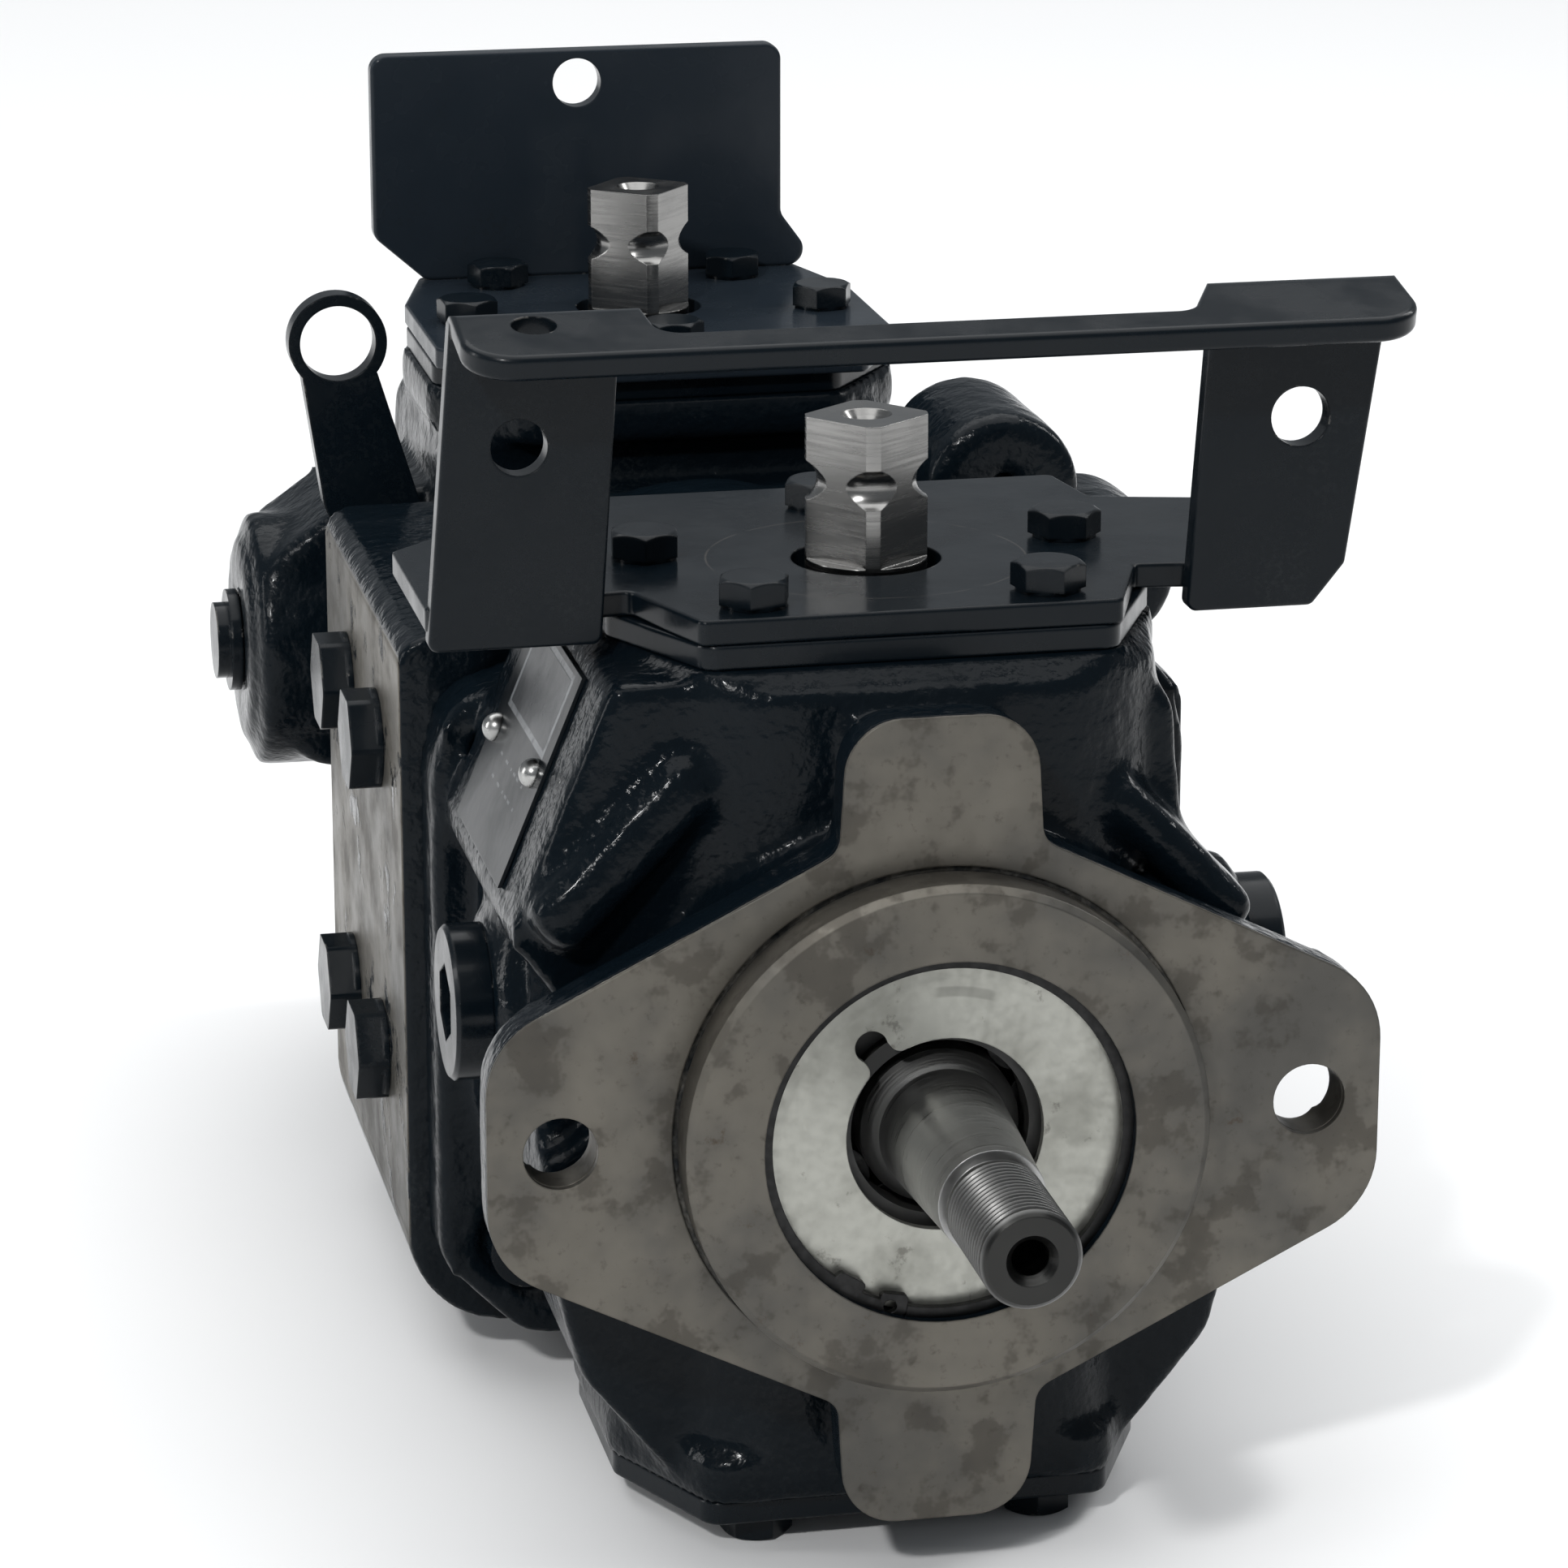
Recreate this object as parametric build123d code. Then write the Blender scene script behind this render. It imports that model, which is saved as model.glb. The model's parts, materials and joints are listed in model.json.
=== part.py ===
from build123d import *
import math
import os

# Tandem axial piston pump, trunnion operated, with a two-bolt SAE B mounting flange.
# Frame: the origin is the centre of the mounting face on the shaft axis, +Y runs into
# the pump along the shaft, +Z runs up along the trunnions, +X is to the right seen from
# the shaft end. Millimetres.

# ---------------------------------------------------------------- mounting flange
PILOT_R = 50.8
PILOT_H = 9.65
FLANGE_T = 12.5
FLANGE_BOLT_X = 73.025
FLANGE_HOLE_R = 7.15
SPOT_FACE_R = 14.0
FLANGE_END_X = 87.0
FLANGE_END_Z = 22.0
FLANGE_END_R = 17.0
TAB_HALF = 18.1
TAB_TOP = 80.8
TAB_ROOT_Z = 55.5

# ---------------------------------------------------------------- layout along the shaft
TILT_Y = 65.8            # front swash tilt axis, measured from the mounting face
TRUNNION_PITCH = 245.0   # distance between the two tilt axes
MID_Y = TILT_Y + TRUNNION_PITCH / 2
REAR_TILT_Y = TILT_Y + TRUNNION_PITCH
JOINT_Y = 130.0          # front housing to centre section joint
REAR_JOINT_Y = 2 * MID_Y - JOINT_Y
PUMP_END_Y = 360.0       # rear housing to charge pump cover joint
COVER_END_Y = 382.0      # end of the charge pump cover

# ---------------------------------------------------------------- rotating groups
PISTONS = 7
PITCH_R = 30.0           # piston bores in the cylinder block
SLIPPER_PITCH_R = 30.5   # slippers on the swash face
BALL_R = 7.0
SOCKET_R = 7.08
PISTON_R = 9.0
BORE_R = 9.65
NECK_R = 4.2
PISTON_START = 9.2       # piston body, from the ball centre
PISTON_END = 46.5
BLOCK_R = 43.0
BLOCK_FRONT = 15.2       # cylinder block, from the tilt axis
BLOCK_BACK = 60.0
VALVE_T = 4.0
SWASH_FACE = 9.5         # distance of the swash face from the tilt axis
SWASH_R = 46.0
GUIDE_R = 17.0           # ball guide sphere, centred on the tilt axis
SHAFT_R = 12.7
SPLINE_R = 14.2
JOURNAL_R = 15.5         # under the seal and in the front bearing
RUN_GAP = 0.1

# ---------------------------------------------------------------- housings and covers
CAVITY_R = 50.5
HOUSING_TOP = 85.0
COVER_T = 5.0
PLATE_T = 5.0
COVER_BOLTS = ((-28.8, -31.0), (28.8, -31.0), (-42.5, 9.1), (42.5, 9.1), (0.0, 43.0))
BOLT_ACROSS = 12.7       # cover bolt heads
BOLT_HEAD = 5.0
BOLT_WASHER = 0.7
BOLT_SHANK_R = 4.0
BOLT_HOLE_R = 4.3
SIDE_PORT_Y = 2.2        # case drain ports, from the tilt axis
SIDE_PORT_Z = 8.0
INLET_FROM_TILT = 9.0    # closed inlet boss on the left of the rear housing
INLET_Z = 21.0
INLET_R = 10.0
PLATE_SLOPE = 0.415      # lean of the nameplate facet, sideways per unit of height
CENTER_X = 84.0
CENTER_TOP = 66.0
CENTER_BOTTOM = -86.5
PORT_Z = 35.0            # the two galleries of each pump, above and below the shaft
PORT_FROM_JOINT = 35.0
PORT_R = 13.5
JOINT_BOLT_R = 5.0
HOUSING_BOLTS = ((-62.0, 44.0), (62.0, 44.0), (-62.0, -62.0), (62.0, -62.0))
CHARGE_BOLTS = ((-36.0, 36.0), (36.0, 36.0), (-36.0, -36.0), (36.0, -36.0))

# ---------------------------------------------------------------- trunnion posts
TRUNNION_R = 14.0
BUSHING_R = 18.0
POST_BAR_R = 12.0
POST_SQUARE = 18.9
POST_TOP = 123.8
POST_ROOT = 95.5
POST_GROOVE_Z = 111.1
POST_TURN = 39.0         # angle of the square about the trunnion axis, degrees
M8_DRILL_R = 3.4

# ---------------------------------------------------------------- gerotor charge pump
GEROTOR_TEETH = 6
GEROTOR_OFFSET = 2.2
GEROTOR_T = 12.0
GEROTOR_LOBE_R = 5.5
GEROTOR_PITCH_R = 23.0   # lobe centres, from the outer ring's centre
GEROTOR_RING_R = 30.0
GEROTOR_GAP = 1.0        # gears behind the face of the rear housing


# ================================================================= shape helpers
def along_y(radius, y0, y1, x=0.0, z=0.0):
    return Pos(x, (y0 + y1) / 2, z) * Rot(90, 0, 0) * Cylinder(radius, y1 - y0)


def along_z(radius, z0, z1, x=0.0, y=0.0):
    return Pos(x, y, (z0 + z1) / 2) * Cylinder(radius, z1 - z0)


def along_x(radius, x0, x1, y=0.0, z=0.0):
    return Pos((x0 + x1) / 2, y, z) * Rot(0, 90, 0) * Cylinder(radius, x1 - x0)


def box(x0, x1, y0, y1, z0, z1):
    return Pos((x0 + x1) / 2, (y0 + y1) / 2, (z0 + z1) / 2) * Box(x1 - x0, y1 - y0, z1 - z0)


def outline(points, radius=0.0):
    """A closed polygon, its corners rounded to one radius."""
    face = make_face(Polyline(*points, close=True))
    if radius > 0:
        face = fillet(face.vertices(), radius)
    return face


def plate_y(points, y0, y1, radius=0.0):
    """A plate whose outline is drawn in X and Z, between two values of Y."""
    return extrude(Plane.XZ.offset(-y1) * outline(points, radius), amount=y1 - y0)


def plate_z(points, z0, z1, radius=0.0):
    """A plate whose outline is drawn in X and Y, between two values of Z."""
    return extrude(Plane.XY.offset(z0) * outline(points, radius), amount=z1 - z0)


def plate_x(points, x0, x1, radius=0.0):
    """A plate whose outline is drawn in Y and Z, between two values of X."""
    return extrude(Plane.YZ.offset(x0) * outline(points, radius), amount=x1 - x0)


def rounded_rim(plate, radius=0.7):
    """Round the upper and lower rims of a flat plate a little."""
    rims = plate.edges().group_by(Axis.Z)
    return fillet(rims[0] + rims[-1], radius)


def soft_edges(solid, radius=0.8):
    return fillet(solid.edges(), radius)


def cone_y(r0, r1, y0, y1):
    """A cone frustum along +Y, radius r0 at y0 and r1 at y1."""
    return Pos(0, (y0 + y1) / 2, 0) * Rot(-90, 0, 0) * Cone(r0, r1, y1 - y0)


def mirrored(points):
    """The points of one side, followed by their mirror images in X, as one loop."""
    return list(points) + [(-x, z) for x, z in reversed(points)]


def front(shape):
    """Place a shape that is drawn about the tilt axis in the front pump."""
    return Pos(0, TILT_Y, 0) * shape


def rear(shape):
    """Place the mirror image of a shape drawn about the tilt axis in the rear pump."""
    return Pos(0, REAR_TILT_Y, 0) * mirror(shape, about=Plane.XZ)


def ring_of(count, radius, start=0.0):
    """X and Z of points spaced evenly on a circle about the shaft."""
    angles = [start + i * 2 * math.pi / count for i in range(count)]
    return [(radius * math.cos(a), radius * math.sin(a)) for a in angles]


def joined(solids):
    return Compound(children=list(solids))


# ================================================================= fasteners
def hex_bolt_z(x, y, z, length, turn=0.0):
    """Hex head bolt with a washer face, its head resting on z and its shank going down."""
    head_z = z + BOLT_WASHER
    top_r = BOLT_ACROSS * 0.48
    flare = math.sqrt(3)
    hexagon = extrude(Plane.XY.offset(head_z) * RegularPolygon(BOLT_ACROSS / flare, 6), amount=BOLT_HEAD)
    chamfer_cone = Pos(0, 0, head_z + BOLT_HEAD / 2) * Cone(top_r + BOLT_HEAD * flare, top_r, BOLT_HEAD)
    bolt = Rot(0, 0, turn) * (hexagon & chamfer_cone)
    bolt += along_z(BOLT_SHANK_R, z - length, z) + along_z(BOLT_ACROSS * 0.5, z, head_z)
    return Pos(x, y, 0) * bolt


def socket_bolt_y(x, z, y, length, direction, head_r=8.0, head=10.0):
    """Socket head screw, its head resting on y; direction is the way its shank points."""
    shank = along_y(JOINT_BOLT_R, 0, length)
    cap = along_y(head_r, -head, 0)
    socket = Pos(0, -head, 0) * Rot(90, 0, 0) * extrude(RegularPolygon(8.0 / math.sqrt(3), 6), amount=-5.0)
    bolt = shank + cap - socket
    if direction < 0:
        bolt = mirror(bolt, about=Plane.XZ)
    return Pos(x, y, z) * bolt


# ================================================================= front housing
def flange_outline():
    half = [(TAB_HALF, TAB_TOP), (TAB_HALF + 1.5, TAB_ROOT_Z), (FLANGE_END_X, FLANGE_END_Z)]
    right = half + [(x, -z) for x, z in reversed(half)]
    left = [(-x, z) for x, z in reversed(right)]
    return right + left


def mounting_flange():
    face = make_face(Polyline(*flange_outline(), close=True))
    tab_corners = [v for v in face.vertices() if abs(v.Y) > TAB_TOP - 1]
    face = fillet(tab_corners, 11.0)
    roots = [v for v in face.vertices() if abs(v.X) < TAB_HALF + 3 and abs(abs(v.Y) - TAB_ROOT_Z) < 1]
    face = fillet(roots, 5.0)
    ends = [v for v in face.vertices() if abs(v.X) > FLANGE_END_X - 1]
    face = fillet(ends, FLANGE_END_R)
    flange = extrude(Plane.XZ.offset(-FLANGE_T) * face, amount=FLANGE_T)
    pilot = along_y(PILOT_R, -PILOT_H, FLANGE_T)
    pilot = chamfer(pilot.edges().group_by(Axis.Y)[0], 1.4)
    undercut = along_y(PILOT_R + 1.0, -0.01, 0.8) - along_y(PILOT_R - 1.2, -1, 2)
    return flange + pilot - undercut


BODY_SIDE = [(46, 80), (54, 72), (56, 48), (70, 24), (72, -28), (64, -60), (46, -82)]
PAD_SIDE = [(40, -41.2), (54, -12), (54, 30), (36, 56)]
CAST_PAD_SIDE = [(40, -44.0), (55.4, -13), (55.4, 31), (37, 58.5)]
CAST_PAD_T = 10.0


def pump_case():
    """Casting of one pump about its tilt axis, from the bearing end to the joint."""
    body = plate_y(mirrored(BODY_SIDE), -34, 50, 7.0)
    top_boss = extrude(Plane.XY.offset(40) * RectangleRounded(106, 96, 30), amount=HOUSING_TOP - 40 - 3)
    bottom_boss = extrude(Plane.XY.offset(-HOUSING_TOP + 3) * RectangleRounded(96, 90, 28), amount=45)
    pad = plate_z(mirrored(CAST_PAD_SIDE), HOUSING_TOP - CAST_PAD_T, HOUSING_TOP, 9.0)
    base_pad = plate_z(mirrored(CAST_PAD_SIDE), -HOUSING_TOP, -HOUSING_TOP + CAST_PAD_T, 9.0)
    joint = plate_y(mirrored([(50, 64), (76, 56), (80, 40), (80, -66), (62, -84)]),
                    48, JOINT_Y - TILT_Y, 12.0)
    side_boss = along_x(21.0, -75.5, 75.5, SIDE_PORT_Y, SIDE_PORT_Z)
    side_ring = along_x(17.5, -77.0, 77.0, SIDE_PORT_Y, SIDE_PORT_Z)
    case = body + top_boss + bottom_boss + pad + base_pad + joint + side_boss + side_ring
    return case


def nameplate_facet():
    """Cast wall on the left shoulder, its outer face leaning for the nameplate."""
    top_x, top_z, low_z = -58.0, 83.0, 34.0
    low_x = top_x - (top_z - low_z) * PLATE_SLOPE
    points = [(-40, top_z), (top_x, top_z), (low_x, low_z), (low_x + 10, low_z - 14), (-40, low_z - 14)]
    return plate_y(points, -40.8, 46, 3.0)


def slanted_rib(center, run, length, width):
    """Rib on a shoulder of the neck; run is its direction up towards the top of the housing."""
    slope = Plane(origin=center, x_dir=run, z_dir=(-run[2], 0, run[0]))
    rib = slope * fillet(Box(length, 24, width).edges(), 4.0)
    return rib & box(-90, 90, FLANGE_T - 4, RIB_END_Y, 0, 80)


def front_ribs():
    """Slanted ribs on both upper shoulders behind the mounting flange, and a web at top and bottom."""
    ribs = slanted_rib((-57, 30, 50.5), (22, 3, 21), 44, 13)
    ribs += slanted_rib((52, 30, 43.5), (-24.5, 3, 26), 40, 10)
    web = fillet(box(-14, 14, 8, 36, 50, 77).edges(), 4.0)
    return ribs + web + mirror(web, about=Plane.XY)


RIB_END_Y = 43.5         # ribs end just ahead of the nameplate


def case_cavity(open_end):
    """Inside of a pump case about its tilt axis: round, with slots for the swash arms."""
    room = along_y(CAVITY_R, -35.8, open_end)
    arm_slot = box(-21, 21, -30, 18, -59.5, 59.5)
    bores = along_z(BUSHING_R, 50, HOUSING_TOP + 1) + along_z(BUSHING_R, -HOUSING_TOP - 1, -50)
    return room + arm_slot + bores


def case_drillings():
    """Threaded holes for cover bolts, joint bolts and the two side ports, about the tilt axis."""
    cuts = along_x(PORT_R, -80, 80, SIDE_PORT_Y, SIDE_PORT_Z)
    for x, y in COVER_BOLTS:
        cuts += along_z(BOLT_SHANK_R, HOUSING_TOP - 15, HOUSING_TOP + 1, x, y)
        cuts += along_z(BOLT_SHANK_R, -HOUSING_TOP - 1, -HOUSING_TOP + 15, x, y)
    for x, z in HOUSING_BOLTS:
        cuts += along_y(5.3, 40, 70, x, z)
        cuts += along_y(9.5, 20, 52, x, z)
    return cuts


def front_housing():
    case = front(pump_case() + nameplate_facet())
    neck = along_y(57.0, 4.0, 34.0) + cone_y(54.0, 64.0, FLANGE_T, 42.0)
    body = mounting_flange() + neck + front_ribs() + case
    bearing_bore = along_y(36.0, -PILOT_H - 1, 27.0) + along_y(28.0, 20, 40)
    ring_groove = along_y(37.6, -7.4, -5.4)
    body -= bearing_bore + ring_groove
    for side in (-1, 1):
        body -= along_y(FLANGE_HOLE_R, -1, 40, side * FLANGE_BOLT_X)
        body -= along_y(SPOT_FACE_R, FLANGE_T, 40, side * FLANGE_BOLT_X)
    body -= front(case_cavity(JOINT_Y - TILT_Y + 1) + case_drillings())
    rivets = [along_x(1.2, -90, -60, y, z) for y, z in RIVETS]
    return body - rivets


# ================================================================= rear housing
def rear_housing():
    end = PUMP_END_Y - REAR_TILT_Y
    case = pump_case()
    end_block = plate_y(mirrored([(40, 62), (58, 44), (60, -44), (42, -62)]), -end, -30, 8.0)
    body = rear(case + end_block)
    inlet_y = REAR_TILT_Y - INLET_FROM_TILT
    inlet = along_x(30.0, -96.0, -40.0, inlet_y, INLET_Z) + along_x(24.0, -98.5, -90, inlet_y, INLET_Z)
    shoulder = plate_y([(-40, 62), (-72, 60), (-92, 46), (-96, 20), (-86, -4), (-60, -10), (-40, 10)],
                       REAR_TILT_Y - 32, REAR_TILT_Y + 14, 6.0)
    body += inlet + shoulder
    body -= rear(case_cavity(REAR_TILT_Y - REAR_JOINT_Y + 1) + case_drillings())
    body -= along_y(17.0, REAR_TILT_Y + 30, PUMP_END_Y + 1)
    body -= along_x(INLET_R, -99, -45, inlet_y, INLET_Z)
    for x, z in CHARGE_BOLTS:
        body -= along_y(JOINT_BOLT_R, PUMP_END_Y - 16, PUMP_END_Y + 1, x, z)
    return body


# ================================================================= centre section
def kidney(y0, y1, side):
    """Curved slot over or under the shaft that one side of a pump draws or delivers through."""
    span, width = 56.0, 7.5
    ring = along_y(PITCH_R + width / 2, y0, y1) - along_y(PITCH_R - width / 2, y0 - 1, y1 + 1)
    reach = 60.0
    dx = reach * math.sin(math.radians(span))
    dz = reach * math.cos(math.radians(span))
    wedge = plate_y([(0, 0), (dx, side * dz), (0, side * reach * 1.4), (-dx, side * dz)], y0, y1)
    return ring & wedge


def center_outline():
    """Section of the centre block across the shaft: flat left side, large lower corners."""
    points = [(-CENTER_X, CENTER_TOP), (62, CENTER_TOP), (CENTER_X, CENTER_TOP - 20),
              (CENTER_X, CENTER_BOTTOM), (-CENTER_X, CENTER_BOTTOM)]
    face = make_face(Polyline(*points, close=True))
    low = [v for v in face.vertices() if v.Y < 0]
    face = fillet(low, 21.0)
    high = [v for v in face.vertices() if v.Y > 0]
    return fillet(high, 6.0)


def center_section():
    body = extrude(Plane.XZ.offset(-REAR_JOINT_Y) * center_outline(), amount=REAR_JOINT_Y - JOINT_Y)
    dome = along_y(46.0, JOINT_Y + 4, REAR_JOINT_Y - 4, 0, CENTER_TOP - 42)
    hump = soft_edges(along_y(17.5, MID_Y - 10, MID_Y + 34, 56.5, 78.0), 3.0)
    hump += soft_edges(along_y(16.0, MID_Y - 8, MID_Y + 30, 81.0, 57.5), 3.0)
    saddle = box(42, 72, MID_Y - 6, MID_Y + 28, 50, 76)
    body += dome + hump + saddle
    body -= along_y(22.0, JOINT_Y - 1, REAR_JOINT_Y + 1)
    for joint, sense in ((JOINT_Y, 1), (REAR_JOINT_Y, -1)):
        far = joint + sense * 22
        for up in (1, -1):
            gallery_y = joint + sense * PORT_FROM_JOINT
            body -= kidney(min(joint, far), max(joint, far), up)
            body -= along_x(9.0, -CENTER_X - 5, CENTER_X + 1, gallery_y, up * PORT_Z)
            body -= along_x(PORT_R, CENTER_X - 19, CENTER_X + 1, gallery_y, up * PORT_Z)
            body -= along_x(PORT_R + 2.0, CENTER_X, CENTER_X + 20, gallery_y, up * PORT_Z)
            body -= along_x(9.5, -CENTER_X - 5, -CENTER_X + 30, gallery_y, up * PORT_Z)
        near, deep = sorted((joint - sense, joint + sense * 20))
        for x, z in HOUSING_BOLTS:
            body -= along_y(JOINT_BOLT_R, near, deep, x, z)
    body -= along_y(2.5, MID_Y - 11, MID_Y - 2, 57, 80)
    return body


# ================================================================= covers and brackets
def cover_plate(open_for_post):
    plate = rounded_rim(plate_z(mirrored(PAD_SIDE), 0, COVER_T, 5.0))
    if open_for_post:
        plate -= along_z(14.8, -1, COVER_T + 1)
    for x, y in COVER_BOLTS:
        plate -= along_z(BOLT_HOLE_R, -1, COVER_T + 1, x, y)
    return plate


def trunnion_covers():
    upper = Pos(0, 0, HOUSING_TOP) * cover_plate(True)
    lower = Pos(0, 0, -HOUSING_TOP - COVER_T) * cover_plate(False)
    return joined([front(upper), front(lower), rear(upper), rear(lower)])


BOLT_TURNS = (14.0, 40.0, 22.0, 51.0, 6.0)


def cover_bolts():
    top = HOUSING_TOP + COVER_T + PLATE_T
    bottom = HOUSING_TOP + COVER_T
    bolts = []
    for i, (x, y) in enumerate(COVER_BOLTS):
        turn = BOLT_TURNS[i]
        bolts.append(front(hex_bolt_z(x, y, top, 22.0, turn)))
        bolts.append(rear(hex_bolt_z(x, y, top, 22.0, turn)))
        lower = Rot(180, 0, 0) * hex_bolt_z(x, -y, bottom, 18.0, turn)
        bolts.append(front(lower))
        bolts.append(rear(lower))
    return joined(bolts)


def bracket_base(points, radius):
    """Bracket plate on the trunnion cover about the tilt axis, with its post and bolt holes."""
    z0 = HOUSING_TOP + COVER_T
    base = rounded_rim(plate_z(points, z0, z0 + PLATE_T, radius))
    base -= along_z(14.8, z0 - 1, z0 + PLATE_T + 1)
    for x, y in COVER_BOLTS:
        base -= along_z(BOLT_HOLE_R, z0 - 1, z0 + PLATE_T + 1, x, y)
    return base


STRIP_TOP = 152.5
UPRIGHT_TOP = 151.5
RIGHT_WING_X = 84.5      # the right wing is narrower than the left one
UPRIGHT_FACE = -23.8     # outer face of the front bracket's uprights, from the tilt axis
STRIP_DROP = 11.0        # the top strip's fall towards its front edge, degrees


def front_bracket():
    z0 = HOUSING_TOP + COVER_T
    face = UPRIGHT_FACE
    wing = [(90.3, face + 1.5), (90.3, 24), (80, 34), (56, 40), (53, 60)]
    edge = [(41, -41.2), (50, -16), (58, face + 7)]
    right_edge = edge + [(RIGHT_WING_X, face + 1.5), (RIGHT_WING_X, 24)] + wing[2:]
    left_edge = [(-x, y) for x, y in reversed(edge + wing)]
    base = bracket_base(right_edge + left_edge, 2.0)
    lower = z0 - 0.2
    left = [(-90.3, lower - 3), (-56.8, lower - 3), (-52.6, UPRIGHT_TOP), (-85.0, UPRIGHT_TOP)]
    right = [(58.7, lower - 3), (84.0, lower - 3), (90.6, 95), (98.6, UPRIGHT_TOP), (63.0, UPRIGHT_TOP)]
    upright_l = soft_edges(plate_y(left, face, face + PLATE_T, 2.0))
    upright_r = soft_edges(plate_y(right, face, face + PLATE_T, 2.0))
    strip = front_strip()
    bracket = base + upright_l + upright_r + strip
    bracket += inner_bend(-84.0, -51.5) + inner_bend(64.5, 97.5)
    bracket -= outer_bend(-120.0, -48.0) + outer_bend(56.0, 120.0)
    holes = along_y(5.45, face - 1, face + 6, -72.3, 126.0) + along_y(5.9, face - 1, face + 6, 80.7, 124.8)
    return front(bracket - holes)


BEND_R = 3.0             # inside radius of the bracket's bends


def bend_frame(y_local, z_local):
    """Places a shape at a corner of the top strip, in the strip's own leaning frame."""
    return Pos(0, UPRIGHT_FACE + 1.0, STRIP_TOP) * Rot(STRIP_DROP, 0, 0) * Pos(0, y_local, z_local)


def inner_bend(x0, x1):
    """Fill of the inside corner between the strip and an upright."""
    corner = box(x0, x1, -BEND_R, 1.0, -BEND_R, 1.0) - along_x(BEND_R, x0 - 1, x1 + 1, -BEND_R, -BEND_R)
    return bend_frame(-1.2, -PLATE_T) * corner


def outer_bend(x0, x1):
    """Cut that rounds the outside corner between the strip and an upright."""
    outer = BEND_R + PLATE_T
    corner = box(x0, x1, -outer, 4.0, -outer, 4.0) - along_x(outer, x0 - 1, x1 + 1, -outer, -outer)
    return bend_frame(4.0, 0.0) * corner


def front_strip():
    """Top strip, wide at both ends and narrow between, bent forward off the uprights."""
    back, neck, edge = 4.0, -14.0, -23.5
    points = [(-85.0, back), (-49.5, back), (-47.5, neck), (55.0, neck), (63.5, back), (99.0, back),
              (99.0, edge), (-85.0, edge)]
    face = make_face(Polyline(*points, close=True))
    front_corners = [v for v in face.vertices() if abs(v.Y - edge) < 0.1]
    face = fillet(front_corners, 10.0)
    necks = [v for v in face.vertices() if abs(v.Y - neck) < 0.1]
    face = fillet(necks, 5.0)
    strip = rounded_rim(extrude(face, amount=-PLATE_T), 1.3)
    strip -= along_z(4.3, -PLATE_T - 1, 1, -70.4, -8.5)
    return Pos(0, UPRIGHT_FACE + 1.0, STRIP_TOP) * Rot(STRIP_DROP, 0, 0) * strip


def rear_bracket():
    """Base on the rear trunnion cover and the upright that stands welded along its back edge."""
    z0 = HOUSING_TOP + COVER_T
    back = -45.0
    half = [(46, back), (54, -14), (54, 36), (42, 60)]
    base = bracket_base(mirrored(half), 3.0)
    foot = z0 + PLATE_T
    points = [(-57.5, 106), (-45, foot), (52.5, foot), (43, 108), (43, 150), (-57.5, 150)]
    upright = soft_edges(plate_y(points, back, back + PLATE_T, 4.0))
    upright -= along_y(5.9, back - 1, back + PLATE_T + 1, -7.4, 142.0)
    return joined([rear(base), rear(upright)])


def lifting_eye():
    """Flat lifting eye clamped by the upper left rear joint bolt."""
    eye_x, eye_z = -78.0, 99.5
    y0 = REAR_JOINT_Y + 16.2
    y1 = y0 + 6.0
    ring = along_y(11.2, y0, y1, eye_x, eye_z)
    neck = plate_y([(eye_x - 8.5, eye_z - 6), (eye_x + 8.5, eye_z - 6), (-60, 62), (-57.5, 52), (-57.5, 38),
                    (-66, 34), (-74, 40), (-82, 62)], y0, y1, 2.0)
    eye = along_y(8.6, y0 - 1, y1 + 1, eye_x, eye_z)
    bolt_hole = along_y(JOINT_BOLT_R + 0.3, y0 - 1, y1 + 1, *HOUSING_BOLTS[0])
    return ring + neck - eye - bolt_hole


# ================================================================= nameplate
def facet_x(z):
    """X of the facet's face at a height."""
    return -58.0 - (83.0 - z) * PLATE_SLOPE


RIVETS = ((92.0, 57.0), (52.0, 59.0))


def nameplate():
    thickness = 0.8
    low, high = 38.5, 79.5
    skin = [(facet_x(low) - thickness, low), (facet_x(high) - thickness, high), (facet_x(high), high),
            (facet_x(low), low)]
    plate = plate_y(skin, 45.0, 97.0)
    return plate - [along_x(1.25, -90, -60, y, z) for y, z in RIVETS]


def nameplate_rivets():
    pins = []
    for y, z in RIVETS:
        x = facet_x(z) - 0.8
        head = Pos(x, y, z) * Sphere(3.0) & box(x - 5, x - 0.02, y - 5, y + 5, z - 5, z + 5)
        lean = math.degrees(math.atan(PLATE_SLOPE))
        head = Pos(x, y, z) * Rot(0, lean, 0) * Pos(-x, -y, -z) * head
        pins.append(head + along_x(1.1, x - 0.5, x + 8, y, z))
    return joined(pins)


# ================================================================= seal, bearing, ring
def shaft_seal():
    seal = along_y(35.8, 0.0, 7.0) - along_y(17.4, -1, 8)
    return seal - (along_y(30.0, -1, 3.0) - along_y(20.5, -2, 4.0))


NOTCH_DEGREES = 128.0    # place of the washer's notch, from +X towards +Z


def seal_washer():
    washer = along_y(35.8, -4.4, -2.6) - along_y(19.2, -5, -2)
    notch = along_y(3.2, -5, -2, 23.4) + box(16, 23.4, -5, -2, -2.9, 2.9)
    mouth = box(16, 20.6, -5, -2, -5.2, 5.2)
    mouth -= along_y(2.3, -6, -1, 20.9, 5.2) + along_y(2.3, -6, -1, 20.9, -5.2)
    washer -= Rot(0, -NOTCH_DEGREES, 0) * (notch + mouth)
    return washer


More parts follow.
